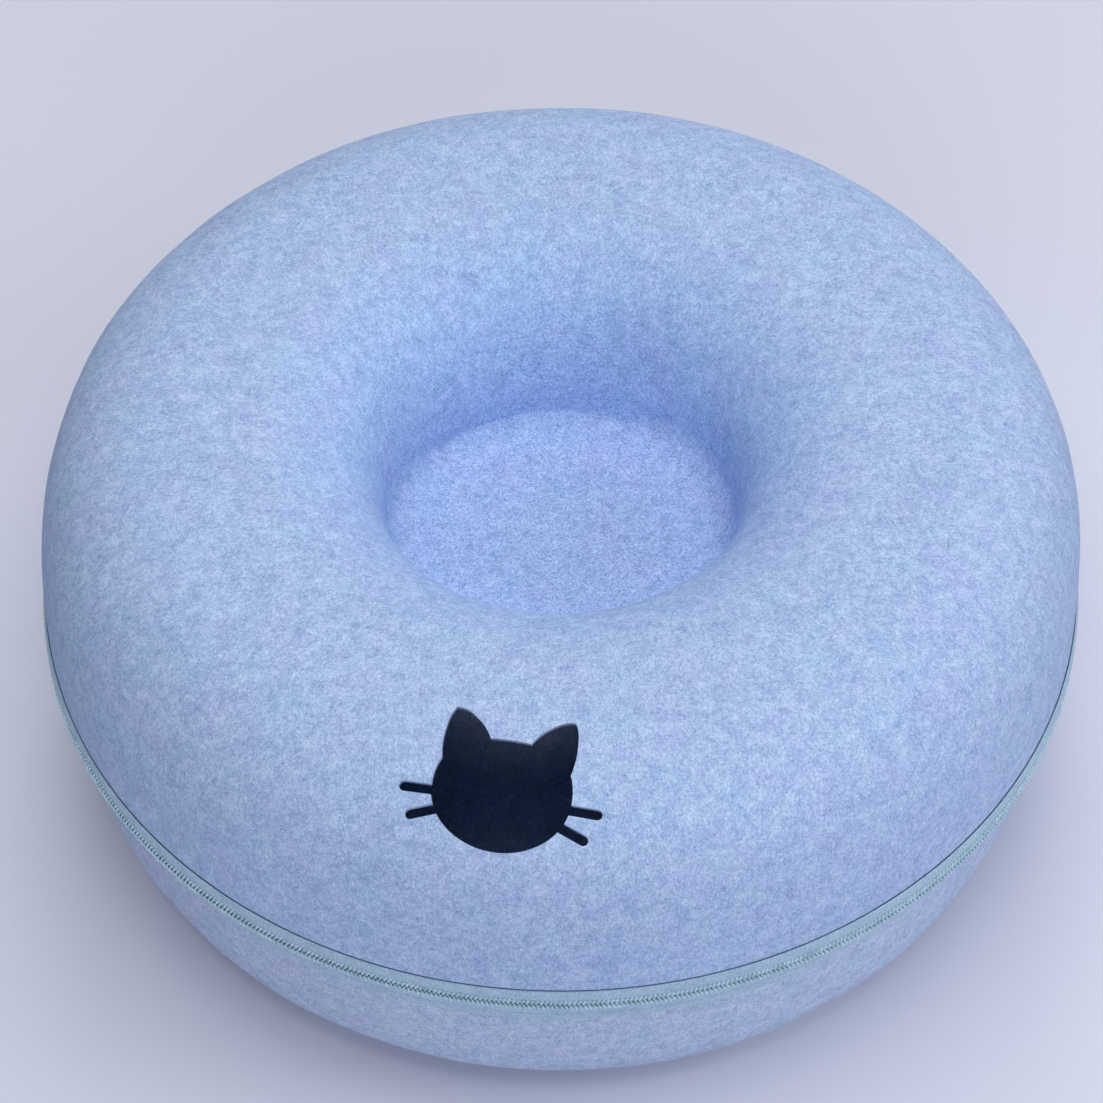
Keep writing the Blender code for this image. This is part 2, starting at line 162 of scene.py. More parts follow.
def edit(obj):
    makeActive(obj)
    bpy.ops.object.mode_set(mode="EDIT")
    bpy.ops.mesh.select_all(action="SELECT")


def endEdit():
    bpy.ops.object.mode_set(mode="OBJECT")


def applyAll(obj):
    makeActive(obj)
    for modifier in list(obj.modifiers):
        bpy.ops.object.modifier_apply(modifier=modifier.name)


def smooth(obj, degrees=35):
    makeActive(obj)
    bpy.ops.object.shade_smooth_by_angle(angle=math.radians(degrees))


def finishPiece(obj, body, slot, material, *replaced):
    obj.data.materials.clear()
    obj.data.materials.append(material)
    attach(obj, body)
    if replaced:
        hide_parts(*replaced)


# Materials

# A colour as it is written for screens, taken back to linear light
def hexColour(code):
    values = []
    for i in (0, 2, 4):
        c = int(code[i:i + 2], 16) / 255
        values.append(c / 12.92 if c <= 0.04045 else ((c + 0.055) / 1.055) ** 2.4)
    return (*values, 1.0)


# A node with its settings, and links from what feeds its sockets
def addNode(material, kind, links=None, **settings):
    tree = material.node_tree
    made = tree.nodes.new(kind)
    for key, value in settings.items():
        if hasattr(made, key):
            setattr(made, key, value)
        else:
            made.inputs[key.replace("_", " ")].default_value = value
    for socket, source in (links or {}).items():
        tree.links.new(source, made.inputs[socket])
    return made


def link(material, source, target):
    material.node_tree.links.new(source, target)


def newMaterial(name):
    material = bpy.data.materials.new(name)
    material.use_nodes = True
    place = addNode(material, "ShaderNodeTexCoord").outputs["Object"]
    return material, material.node_tree.nodes["Principled BSDF"], place


def setShader(shader, **settings):
    for key, value in settings.items():
        shader.inputs[key.replace("_", " ")].default_value = value


def maths(material, operation, a, b=None, c=None):
    made = addNode(material, "ShaderNodeMath", operation=operation)
    for i, value in enumerate((a, b, c)):
        if value is None:
            continue
        if isinstance(value, (int, float)):
            made.inputs[i].default_value = value
        else:
            link(material, value, made.inputs[i])
    return made.outputs[0]


def mixNode(material, values, **settings):
    made = addNode(material, "ShaderNodeMix", **settings)
    for socket, value in values:
        if isinstance(value, (int, float, tuple)):
            made.inputs[socket].default_value = value
        else:
            link(material, value, made.inputs[socket])
    return made.outputs


def mixColour(material, factor, a, b, blend="MIX"):
    return mixNode(material, ((0, factor), (6, a), (7, b)), data_type="RGBA", blend_type=blend)[2]


def mixValue(material, factor, a, b):
    return mixNode(material, ((0, factor), (2, a), (3, b)), data_type="FLOAT")[0]


def linear(material, source, low, high, outLow=0.0, outHigh=1.0, curve="LINEAR"):
    made = addNode(material, "ShaderNodeMapRange", links={0: source}, interpolation_type=curve)
    for i, value in ((1, low), (2, high), (3, outLow), (4, outHigh)):
        made.inputs[i].default_value = value
    return made.outputs[0]


def ramp(material, source, low, high, outLow=0.0, outHigh=1.0):
    return linear(material, source, low, high, outLow, outHigh, "SMOOTHSTEP")


def noiseOf(material, place, size, **settings):
    made = addNode(material, "ShaderNodeTexNoise", links={"Vector": place}, Scale=1 / size, **settings)
    return made.outputs[0]


midTone = 0.5                 # noises and tones lie round this


# base, moved up and down by a noise
def swing(material, source, weight, base=midTone):
    return maths(material, "MULTIPLY_ADD", maths(material, "SUBTRACT", source, midTone), weight, base)


def addBump(material, shader, height, strength, distance):
    bump = addNode(material, "ShaderNodeBump", Strength=strength, Distance=distance, links={"Height": height})
    link(material, bump.outputs[0], shader.inputs["Normal"])


# Needle felt: pale and deep blue staple fibres, carded together and pressed in a heated mould.
# Close to, the mixed fibres give a fine speckle that changes in tone and hardly in hue; further
# off, uneven carding leaves soft cyan and lavender clouds. The mould draws the fibres a little
# down the slopes.
felt = {
    "mid": "a4bbe4",
    "deep": "7893c4",         # tone of the deepest specks
    "pale": "cde0ff",
    "cyan": "a1bde5",
    "lavender": "a8b8e5",
    "speck": 0.9 * mm,        # fibre bundle seen end on or crossing
    "drawWidth": 0.7 * mm,    # a bundle lying down the slope
    "drawLength": 2.2 * mm,
    "belts": (105 * mm, 160 * mm, 235 * mm),           # radii where a bundle has just that width
    "innerFade": (118 * mm, 142 * mm),                 # from the first belt to the second
    "outerFade": (190 * mm, 212 * mm),                 # and on to the third
    "slope": (84 * mm, 100 * mm),                      # from the dimple's flat floor to its wall
    "axisClear": 5 * mm,      # nearer the axis than this no direction is taken from it
    "drawn": 0.38,            # share of drawn bundles on the slopes
    "clump": 7 * mm,          # largest uneven clump; each octave below it shows as strongly
    "cloud": 24 * mm,
    "cloudShift": (0.37, 0.11, 0.53),
    "lavenderFrom": (0.50, 0.66),
    "cyanFrom": (0.50, 0.34),
    "cloudTint": 0.85,
    "fineTone": 1.7,          # how far the fine speckle moves the tone
    "clumpTone": 1.25,
    "clumpHeight": 0.6,
    "bump": 0.8,
    "relief": 0.4 * mm,
    "wall": (0.92, 0.985, 1.03, 1.0),                  # painted shade: the dimple's wall is coloured darker and bluer
    "wallPaintedShadeFade": (150 * mm, 100 * mm),
    "floor": (1.16, 1.09, 1.07, 1.0),                  # painted light: the dimple's floor is coloured paler
    "floorPaintedLightFade": (88 * mm, 80 * mm),
}
# The lower shell is from a greyer batch
feltBelow = dict(felt, mid="afc1e2", deep="8098c2", pale="dae7fc", cyan="acc3e3", lavender="b3bee3")


def feltMaterial(name, settings):
    f = settings
    material, shader, place = newMaterial(name)
    x, y, z = addNode(material, "ShaderNodeSeparateXYZ", links={0: place}).outputs
    radius = maths(material, "SQRT", maths(material, "ADD", maths(material, "MULTIPLY", x, x),
                                           maths(material, "MULTIPLY", y, y)))
    safe = maths(material, "MAXIMUM", radius, f["axisClear"])
    across = maths(material, "DIVIDE", x, safe)
    along = maths(material, "DIVIDE", y, safe)

    # drawn fibres: noise on the unit circle, so that it closes on itself, in three belts of radius
    layers = []
    for belt in f["belts"]:
        turns = belt / f["drawWidth"]
        vector = addNode(material, "ShaderNodeCombineXYZ", links={
            0: maths(material, "MULTIPLY", across, turns),
            1: maths(material, "MULTIPLY", along, turns),
            2: maths(material, "DIVIDE", radius, f["drawLength"])})
        links = {"Vector": vector.outputs[0], "W": maths(material, "DIVIDE", z, f["drawLength"])}
        layers.append(addNode(material, "ShaderNodeTexNoise", noise_dimensions="4D", Scale=1.0, Detail=1.0,
                              Roughness=0.7, links=links).outputs[0])
    inner = ramp(material, radius, *f["innerFade"])
    outer = ramp(material, radius, *f["outerFade"])
    drawn = mixValue(material, outer, mixValue(material, inner, layers[0], layers[1]), layers[2])
    speck = noiseOf(material, place, f["speck"], Detail=1.0, Roughness=0.8, Distortion=0.4)
    fine = mixValue(material, ramp(material, radius, *f["slope"], 0.0, f["drawn"]), speck, drawn)
    clumps = noiseOf(material, place, f["clump"], Detail=3.0, Roughness=1.0, Distortion=0.3)
    tone = swing(material, clumps, f["clumpTone"], swing(material, fine, f["fineTone"]))

    # clouds of hue
    moved = addNode(material, "ShaderNodeVectorMath", operation="ADD", links={0: place})
    moved.inputs[1].default_value = f["cloudShift"]
    cloud = noiseOf(material, moved.outputs[0], f["cloud"], Detail=2.5, Roughness=0.6, Distortion=0.5)
    colour = hexColour(f["mid"])
    for tint, span in (("lavender", "lavenderFrom"), ("cyan", "cyanFrom")):
        share = ramp(material, cloud, *f[span], 0.0, f["cloudTint"])
        colour = mixColour(material, share, colour, hexColour(f[tint]))
    for tint, end in (("deep", 0.0), ("pale", 1.0)):
        colour = mixColour(material, linear(material, tone, midTone, end), colour, hexColour(f[tint]))
    # painted shade on the dimple's wall and painted light on its floor, multiplied into the felt's colour
    for tint, span in (("wall", "wallPaintedShadeFade"), ("floor", "floorPaintedLightFade")):
        colour = mixColour(material, ramp(material, radius, *f[span]), colour, f[tint], "MULTIPLY")
    link(material, colour, shader.inputs["Base Color"])
    setShader(shader, Roughness=0.95, Specular_IOR_Level=0.15, Sheen_Weight=0.10, Sheen_Roughness=0.6,
              Sheen_Tint=hexColour("dfe8ff"))
    height = maths(material, "MULTIPLY_ADD", clumps, f["clumpHeight"], fine)
    addBump(material, shader, height, f["bump"], f["relief"])
    return material


# Zip tape: a narrow woven polyester ribbon. Its threads are under half a millimetre, so it looks
# smooth, with a faint ribbing round the ring.
tapeCloth = {
    "light": "b4cee6",
    "shade": "93b1ce",
    "threads": 3200,          # round the ring
    "pitch": 0.48 * mm,
    "weave": 0.25,
    "worn": 12 * mm,
    "wornTone": 0.8,
    "slub": 0.9 * mm,         # thicker places in the yarn
    "slubTone": 1.7,
    "spread": (0.2, 0.8),     # tones that give the full shade and the full light
    "bump": 0.5,
    "relief": 0.12 * mm,
}


def wovenTape(name, settings):
    t = settings
    material, shader, place = newMaterial(name)
    x, y, z = addNode(material, "ShaderNodeSeparateXYZ", links={0: place}).outputs
    turn = maths(material, "ARCTAN2", y, x)
    weft = maths(material, "SINE", maths(material, "MULTIPLY", turn, t["threads"]))
    warp = maths(material, "SINE", maths(material, "MULTIPLY", z, 2 * math.pi / t["pitch"]))
    weave = maths(material, "MULTIPLY_ADD", maths(material, "MULTIPLY", weft, warp), t["weave"], midTone)
    worn = noiseOf(material, place, t["worn"], Detail=3.0, Roughness=0.8)
    slub = noiseOf(material, place, t["slub"], Detail=1.0)
    tone = swing(material, slub, t["slubTone"], swing(material, worn, t["wornTone"], weave))
    colour = mixColour(material, ramp(material, tone, *t["spread"]), hexColour(t["shade"]),
                       hexColour(t["light"]))
    link(material, colour, shader.inputs["Base Color"])
    setShader(shader, Roughness=0.8, Sheen_Weight=0.1)
    addBump(material, shader, weave, t["bump"], t["relief"])
    return material


# Nylon coil, spun thread, moulded hooks and brushed loops: drawn nylon and polyester filament. It
# is a little glossy along each bend and duller where it has rubbed.
yarn = {
    "rubbed": 9 * mm,         # size of the unevenly rubbed places
    "plyTone": 0.5,           # how far the grain moves the tone
    "spread": (0.34, 0.66),   # tones that give the full shade and the full light
    "plySpan": (0.3, 0.7),    # grain over which the roughness rises,
    "plyRough": 0.15,         # and by how much
    "relief": 0.1 * mm,
}


def filament(name, light, shade, rough, grain, strength):
    material, shader, place = newMaterial(name)
    uneven = noiseOf(material, place, yarn["rubbed"], Detail=4.0, Roughness=0.8)
    ply = noiseOf(material, place, grain, Detail=1.0)
    tone = swing(material, ply, yarn["plyTone"], uneven)
    colour = mixColour(material, ramp(material, tone, *yarn["spread"]), hexColour(shade), hexColour(light))
    link(material, colour, shader.inputs["Base Color"])
    link(material, linear(material, ply, *yarn["plySpan"], rough, rough + yarn["plyRough"]),
         shader.inputs["Roughness"])
    addBump(material, shader, ply, strength, yarn["relief"])
    return material


# Enamelled zinc: die cast, then stoved with a mint enamel that softens the edges and pools a
# little, with fine scuffs from use.
enamel = {
    "light": "a5c4cf",
    "shade": "94b5c2",
    "pool": 4 * mm,
    "spread": (0.3, 0.7),     # pooling that gives the full shade and the full light
    "scratch": 0.7 * mm,
    "scuffSpan": (0.35, 0.75),
    "rough": (0.22, 0.48),    # clean and scuffed
    "bump": 0.25,
    "relief": 0.1 * mm,
}


def stovedEnamel(name, settings):
    e = settings
    material, shader, place = newMaterial(name)
    pooled = noiseOf(material, place, e["pool"], Detail=2.0)
    scuff = noiseOf(material, place, e["scratch"], Detail=3.0, Roughness=0.7, Distortion=1.5)
    colour = mixColour(material, ramp(material, pooled, *e["spread"]), hexColour(e["shade"]),
                       hexColour(e["light"]))
    link(material, colour, shader.inputs["Base Color"])
    link(material, linear(material, scuff, *e["scuffSpan"], *e["rough"]), shader.inputs["Roughness"])
    setShader(shader, Coat_Weight=0.3, Coat_Roughness=0.15)
    addBump(material, shader, pooled, e["bump"], e["relief"])
    return material


feltUpper = feltMaterial("needleFeltUpper", felt)
feltLower = feltMaterial("needleFeltLower", feltBelow)
zipTape = wovenTape("wovenZipTape", tapeCloth)
# Tones in light and in shade, roughness, grain size and how deep the grain is
coilNylon = filament("nylonCoil", "c3e1f2", "a3c5d6", 0.42, 2.1 * mm, 0.1)
threadSpun = filament("spunThread", "b3c8e2", "97aecb", 0.7, 0.35 * mm, 0.5)
hookMoulded = filament("mouldedHookNylon", "96a8c8", "7b8cad", 0.45, 1.7 * mm, 0.15)
loopBrushed = filament("brushedLoopNylon", "a3b2d4", "8291b5", 0.75, 0.5 * mm, 0.4)
zipEnamel = stovedEnamel("mintEnamel", enamel)
print("materials ready")


# Felt shells

def quarter(square, count):
    points = []
    for i in range(count + 1):
        angle = i / count * math.pi / 2
        c, s = abs(math.cos(angle)), abs(math.sin(angle))
        reach = (c ** square + s ** square) ** (-1 / square)
        points.append((reach * c, reach * s))
    return points


def shellOutside(shell, upper):
    count = shell["outline"]
    crest, half = ring["crest"], ring["halfTube"]
    if upper:
        rise = shell["edge"] + shell["height"] - shell["floor"]
        wall = [(crest + half * u, shell["edge"] + shell["height"] * v)
                for u, v in quarter(shell["square"], count)]
        steps = quarter(shell["wellSquare"], count)
        close = [(1.0, row * mm / rise) for row in dimple["wallRows"]]
        steps = steps[:1] + close + [q for q in steps[1:] if q[1] * rise > dimple["wallClear"]]
        well = [(crest - (crest - shell["wellRadius"]) * u, shell["floor"] + rise * v) for u, v in steps]
        centre = shell["floor"]
    else:
        drop = shell["height"] + shell["sunk"]
        half = shell["outer"] - crest
        wall = [(crest + half * u - shell["taper"] * v * u, max(shell["edge"] - drop * v, 0.0))
                for u, v in quarter(shell["square"], count)]
        centre = shell["roof"] - ring["felt"]
        depth = centre + shell["sunk"]
        well = [(crest - (crest - shell["wellRadius"]) * u, max(centre - depth * v, 0.0))
                for u, v in quarter(shell["wellSquare"], count)]
    rows = ring["discRows"]
    disc = [(shell["wellRadius"] * (1 - i / rows), centre) for i in range(1, rows + 1)]
    if upper:
        close = [(shell["wellRadius"] - row * mm, centre) for row in dimple["floorRows"]]
        disc = close + [q for q in disc if q[0] < shell["wellRadius"] - dimple["floorClear"]]
    return wall + well[::-1][1:] + disc


def offsetInside(line, thick, upper):
    sign = 1 if upper else -1
    inside = []
    for i, (r, z) in enumerate(line):
        before, after = line[max(i - 1, 0)], line[min(i + 1, len(line) - 1)]
        tangent = Vector((after[0] - before[0], after[1] - before[1])).normalized()
        normal = Vector((tangent.y, -tangent.x)) * sign
        inside.append((max(r - normal.x * thick, 0.0), z - normal.y * thick))
    return inside


# The mould leaves the felt a little uneven, but true along its edge
def lumps(point, edge, amount):
    u = unevenness
    away = min(abs(point.z - edge) / u["fade"], 1.0)
    broad, narrow = noise.noise_vector(point / u["broad"]), noise.noise_vector(point / u["narrow"])
    return (broad + u["narrowShare"] * narrow) * amount * away


# The dimple's floor meets its wall in a sharp crease at the back and in a soft fillet elsewhere
def dimpleCrease(point):
    shell = upperShell
    radius = math.hypot(point.x, point.y)
    inside = (point.z < shell["floor"] - dimple["innerDrop"]
              or radius > shell["wellRadius"] + dimple["innerReach"])
    thick = ring["felt"] if inside else 0.0
    edgeRadius, edgeZ = shell["wellRadius"] + thick, shell["floor"] - thick
    turn = math.degrees(math.atan2(point.x, point.y)) - dimple["crispTurn"]
    share = min(max((abs((turn + 180) % 360 - 180) - dimple["crispHalf"]) / dimple["crispFade"], 0.0), 1.0)
    share = share * share * (3 - 2 * share)
    wide = dimple["sharp"] + (dimple["soft"] - dimple["sharp"]) * share + thick
    away = max(abs(radius - edgeRadius), abs(point.z - edgeZ))
    moved = point.copy()
    if away < wide and radius > dimple["axisClear"]:
        span = 2 * wide - away
        shift = (span - math.sqrt(span * span - 2 * (wide - away) ** 2)) / 2
        moved -= Vector((point.x, point.y, 0.0)) / radius * shift
        moved.z += shift
    if not inside and point.z < shell["floor"] + dimple["beadAbove"]:
        bead = math.exp(-((radius - dimple["beadRadius"]) / dimple["beadWidth"]) ** 2)
        moved.z += dimple["beadRise"] * bead * (1 - share)
    return moved


def spinSection(name, line):
    bpy.ops.mesh.primitive_circle_add(vertices=len(line) + 1, radius=ring["outer"], fill_type="NOTHING")
    obj = bpy.context.object
    obj.name = name
    edit(obj)
    bpy.ops.mesh.select_all(action="DESELECT")
    work = bmesh.from_edit_mesh(obj.data)
    work.verts.ensure_lookup_table()
    work.verts[len(line)].select = True
    bmesh.update_edit_mesh(obj.data)
    bpy.ops.mesh.delete(type="VERT")
    work = bmesh.from_edit_mesh(obj.data)
    work.verts.ensure_lookup_table()
    for vert, (r, z) in zip(work.verts, line):
        vert.co = (r, 0.0, z)
    bmesh.update_edit_mesh(obj.data)
    bpy.ops.mesh.select_all(action="SELECT")
    bpy.ops.mesh.spin(steps=ring["steps"], angle=2 * math.pi, center=(0, 0, 0), axis=(0, 0, 1),
                      use_auto_merge=True)
    bpy.ops.mesh.select_all(action="SELECT")
    bpy.ops.mesh.remove_doubles(threshold=ring["merge"])
    bpy.ops.mesh.normals_make_consistent(inside=False)
    endEdit()
    return obj


def makeShell(name, shell, upper):
    outside = shellOutside(shell, upper)
    inside = offsetInside(outside, ring["felt"], upper)
    sign = 1 if upper else -1
    radius = ring["edgeRound"]
    edge = shell["edge"]
    clear = ring["edgeClear"] * radius
    middle = outside[0][0] - ring["felt"] / 2
    lip = []
    for i in range(ring["edgeFacets"] + 1):
        angle = i / ring["edgeFacets"] * math.pi
        lip.append((middle - math.cos(angle) * ring["felt"] / 2,
                    edge + sign * radius * (1 - math.sin(angle))))
    keepOutside = [p for p in outside if sign * (p[1] - edge) > clear or p[0] < ring["crest"]]
    keepInside = [p for p in inside if sign * (p[1] - edge) > clear or p[0] < ring["crest"]]
    line = keepInside[::-1] + lip + keepOutside
    obj = spinSection(name, line)
    for vert in obj.data.vertices:
        place = dimpleCrease(vert.co) if upper else vert.co.copy()
        vert.co = place + lumps(place, edge, shell["lump"])
    if not upper:
        for vert in obj.data.vertices:
            vert.co.z = max(vert.co.z, 0.0)
    return obj


def prism(name, outline, depth, frameMatrix):
    bpy.ops.mesh.primitive_circle_add(vertices=len(outline), radius=1.0, fill_type="NGON")
    obj = bpy.context.object
    obj.name = name
    for vert, (x, y) in zip(obj.data.vertices, outline):
        vert.co = (x, y, -depth)
    edit(obj)
    bpy.ops.mesh.extrude_region_move(TRANSFORM_OT_translate={"value": (0, 0, 2 * depth)})
    bpy.ops.mesh.select_all(action="SELECT")
    bpy.ops.mesh.normals_make_consistent(inside=False)
    endEdit()
    obj.data.transform(frameMatrix)
    return obj


# A line that bows to its left; the power at each end says how blunt the bow is there
def bowed(start, end, bow, startPower, endPower):
    a, b = Vector(start), Vector(end)
    left = Vector((a.y - b.y, b.x - a.x)).normalized()
    line = []
    for i in range(peephole["earFacets"]):
        share = i / peephole["earFacets"]
        power = startPower if share < 0.5 else endPower
        line.append(tuple(a.lerp(b, share) + left * bow * (1 - abs(2 * share - 1) ** power)))
    return line


def peepholeOutlines():
    p = peephole
    head = []
    for i in range(p["headFacets"]):
        angle = i / p["headFacets"] * 2 * math.pi
        c, s = math.cos(angle), math.sin(angle)
        square = p["topSquare"] if s > 0 else p["chinSquare"]
        reach = (abs(c) ** square + abs(s) ** square) ** (-1 / square)
        head.append((p["headWidth"] / 2 * reach * c, p["headHeight"] / 2 * reach * s))
    shapes = [head]
    for side in (-1, 1):
        inner, tip, outer, root = [(side * p[corner][0], p[corner][1])
                                   for corner in ("earInner", "earTip", "earOuter", "earRoot")]
        innerSide = bowed(inner, tip, side * p["innerBow"], p["plainEnd"], p["bluntEnd"])
        outerSide = bowed(tip, outer, side * p["outerBow"], p["bluntEnd"], p["plainEnd"])
        shapes.append(innerSide + outerSide + [outer, root])
        for reach, y, slope in p["whiskers"]:
            half = p["whiskerWidth"] / 2
            run = (reach - half - p["whiskerRoot"]) / math.cos(slope)
            points = [(0.0, -half)]
            for i in range(p["whiskerFacets"] + 1):
                angle = (i / p["whiskerFacets"] - 0.5) * math.pi
                points.append((run + half * math.cos(angle), half * math.sin(angle)))
            points.append((0.0, half))
            turned = [Matrix.Rotation(slope, 2) @ Vector(q) for q in points]
            shapes.append([(side * (p["whiskerRoot"] + q.x), y + q.y) for q in turned])
    return shapes


def peepholeFrame():
    p, shell = peephole, upperShell
    share = p["fromCrest"] / ring["halfTube"]
    rise = (1 - share ** shell["square"]) ** (1 / shell["square"])
    out = Vector((math.sin(p["azimuth"]), -math.cos(p["azimuth"]), 0.0))
    normal = (out * share ** (shell["square"] - 1) / ring["halfTube"]
              + Vector((0, 0, rise ** (shell["square"] - 1) / shell["height"]))).normalized()
    across = Vector((0, 0, 1)).cross(normal).normalized()
    centre = out * (ring["crest"] + p["fromCrest"]) + Vector((0, 0, shell["edge"] + shell["height"] * rise))
    axes = Matrix((across, normal.cross(across), normal)).transposed().to_4x4()
    return Matrix.Translation(centre) @ axes @ Matrix.Rotation(p["tilt"], 4, "Z")


def combine(obj, other, operation):
    made = obj.modifiers.new(other.name, "BOOLEAN")
    made.operation = operation
    made.solver = "EXACT"
    made.object = other
    applyAll(obj)
    bpy.data.objects.remove(other)


def entranceCutter():
    depth = ring["halfTube"] + entrance["overrun"]
    bpy.ops.mesh.primitive_cylinder_add(
        vertices=entrance["facets"], radius=entrance["radius"], depth=depth,
        location=(0, ring["crest"] + depth / 2, zipLine["middle"]), rotation=(math.pi / 2, 0, 0))
    return bpy.context.object


upper = makeShell("upperFeltShell", upperShell, True)
lower = makeShell("lowerFeltShell", lowerShell, False)
print("shells spun", len(upper.data.polygons), len(lower.data.polygons))
frameOfHole = peepholeFrame()
peepCuts = [prism("peepholeCut" + str(i), outline, peephole["depth"] + i * peephole["depthStep"], frameOfHole)
            for i, outline in enumerate(peepholeOutlines())]
for peepCut in peepCuts[1:]:
    combine(peepCuts[0], peepCut, "UNION")
combine(upper, entranceCutter(), "DIFFERENCE")
combine(upper, peepCuts[0], "DIFFERENCE")
combine(lower, entranceCutter(), "DIFFERENCE")
smooth(upper)
smooth(lower)
finishPiece(upper, "upper_half", "upper_felt", feltUpper, "upper_shell")
finishPiece(lower, "lower_half", "lower_felt", feltLower, "lower_shell")
print("shells cut", len(upper.data.polygons), len(lower.data.polygons))

# The zip: two woven tapes, two sewn coils, the seams, the end stops and the slider

def endTurn(arc, radius):
    reach = ring["outer"] * math.sin(zipLine["entranceAngle"] + arc / ring["outer"])
    return math.asin(reach / radius)


def sweepRound(name, section, arc, steps):
    turn = endTurn(arc, zipLine["tapeOuter"])
    bpy.ops.object.select_all(action="DESELECT")
    bpy.ops.mesh.primitive_circle_add(vertices=len(section), radius=1.0, fill_type="NOTHING")
    obj = bpy.context.object
    obj.name = name
    start = math.pi / 2 - turn
    for vert, (r, z) in zip(obj.data.vertices, section):
        vert.co = (r * math.cos(start), r * math.sin(start), z)
    edit(obj)
    bpy.ops.mesh.spin(steps=steps, angle=2 * (math.pi - turn), center=(0, 0, 0), axis=(0, 0, 1))
    work = bmesh.from_edit_mesh(obj.data)
    bmesh.ops.holes_fill(work, edges=[e for e in work.edges if e.is_boundary], sides=0)
    bmesh.update_edit_mesh(obj.data)
    bpy.ops.mesh.select_all(action="SELECT")
    bpy.ops.mesh.normals_make_consistent(inside=False)
    endEdit()
    return obj


def tube(name, points, radius, resolution=0):
    curve = bpy.data.curves.new(name, "CURVE")
    curve.dimensions = "3D"
    curve.bevel_depth = radius
    curve.bevel_resolution = resolution
    curve.use_fill_caps = True
    spline = curve.splines.new("POLY")
    spline.points.add(len(points) - 1)
    for point, place in zip(spline.points, points):
        point.co = (*place, 1.0)
    obj = bpy.data.objects.new(name, curve)
    bpy.context.scene.collection.objects.link(obj)
    makeActive(obj)
    bpy.ops.object.convert(target="MESH")
    edit(bpy.context.object)
    bpy.ops.mesh.remove_doubles(threshold=zipLine["weld"])
    bpy.ops.mesh.normals_make_consistent(inside=False)
    endEdit()
    return bpy.context.object


# One small shape repeated: each copy gets its own vertices in one mesh
def repeated(name, unit, places):
    points, faces = [], []
    shape = [v.co.copy() for v in unit.data.vertices]
    rings = [tuple(p.vertices) for p in unit.data.polygons]
    for place in places:
        first = len(points)
        points += [place @ co for co in shape]
        faces += [tuple(first + i for i in face) for face in rings]
    mesh = bpy.data.meshes.new(name)
    mesh.from_pydata(points, [], faces)
    obj = bpy.data.objects.new(name, mesh)
    bpy.context.scene.collection.objects.link(obj)
    bpy.data.objects.remove(unit)
    return obj


def feltOutside(shell, z):
    v = (shell["edge"] - z) / (shell["height"] + shell["sunk"])
    u = (1 - v ** shell["square"]) ** (1 / shell["square"])
    return ring["crest"] + (shell["outer"] - ring["crest"]) * u - shell["taper"] * v * u


# Each tape has a flat section beside the slider, and swollen ones at the front and at the sides,
# where the closed zip stands out past the felt. Between the felt's edge and the upper tape is a
# narrow dark crevice, which opens upwards at the sides.
tapes = {
    "steps": 560,
    "upper": {
        "flat": ((245.7, 112.9), (245.7, 111.6), (245.7, 110.4), (245.7, 109.6),
                 (245.7, 109.0), (245.7, 108.2), (245.7, 107.2), (245.7, 106.6),
                 (245.7, 105.8), (245.7, 104.9), (245.7, 103.6), (245.7, 102.4),
                 (245.7, 101.4), (245.7, 100.5), (245.7, 99.8), (245.6, 98.4)),
        "front": ((245.7, 112.9), (245.7, 110.4), (245.72, 107.4), (245.85, 105.4),
                  (246.3, 104.65), (247.5, 106.0), (248.65, 107.3), (249.05, 107.72),
                  (249.35, 107.5), (249.6, 106.6), (249.75, 105.4), (249.75, 104.0),
                  (249.6, 102.6), (249.45, 101.5), (249.3, 100.5), (248.1, 97.7)),
        "side": ((245.7, 112.9), (245.7, 110.4), (245.9, 108.0), (247.4, 106.2),
                 (250.1, 104.8), (250.26, 106.4), (250.38, 108.0), (250.6, 108.88),
                 (251.0, 108.8), (251.35, 107.9), (251.7, 106.2), (251.8, 104.4),
                 (251.7, 103.0), (251.4, 101.7), (251.1, 100.6), (249.9, 97.7)),
    },
    "lower": {
        "flat": ((245.6, 95.6), (245.7, 94.0), (245.7, 92.4),
                 (245.7, 91.0), (245.65, 89.6), (245.4, 88.4)),
        "front": ((248.1, 96.3), (248.6, 93.8), (248.7, 92.0),
                  (248.1, 90.4), (247.2, 88.8), (246.3, 87.3)),
        "side": ((249.9, 96.3), (250.6, 93.4), (250.9, 91.6),
                 (250.5, 89.6), (249.3, 87.6), (247.4, 85.9)),
    },
    "lap": {                  # heights where the lower tape lies on the felt
        "flat": (87.0, 85.6, 84.2, 83.0, 82.0, 81.3),
        "front": (85.9, 84.2, 82.4, 80.6, 78.8, 77.0),
        "side": (84.6, 83.1, 81.6, 80.1, 78.6, 77.0),
    },
    "pushed": {"flat": 0.0, "front": 2.2, "side": 3.9},
    "proud": (0.85, 0.8, 0.75, 0.65, 0.45, 0.15),      # there, above the felt
    "bite": 0.2 * mm,         # its back lies this deep in the nap
    "pushFrom": 103.6 * mm,   # the upper tape's back is pushed out below this height,
    "pushOver": 3.4 * mm,     # fully so from this much lower
    "stillTurn": 35,          # degrees from the back: flat up to here,
    "swollenTurn": 80,        # fully swollen from here on
}


# How much of the flat, front and side shapes a place on the zip has
def shares(x, y):
    turn = abs(math.degrees(math.atan2(x, y)))
    out = min(max((turn - tapes["stillTurn"]) / (tapes["swollenTurn"] - tapes["stillTurn"]), 0.0), 1.0)
    out = out * out * (3 - 2 * out)
    aside = x * x / (x * x + y * y)
    return {"flat": 1 - out, "front": out * (1 - aside), "side": out * aside}


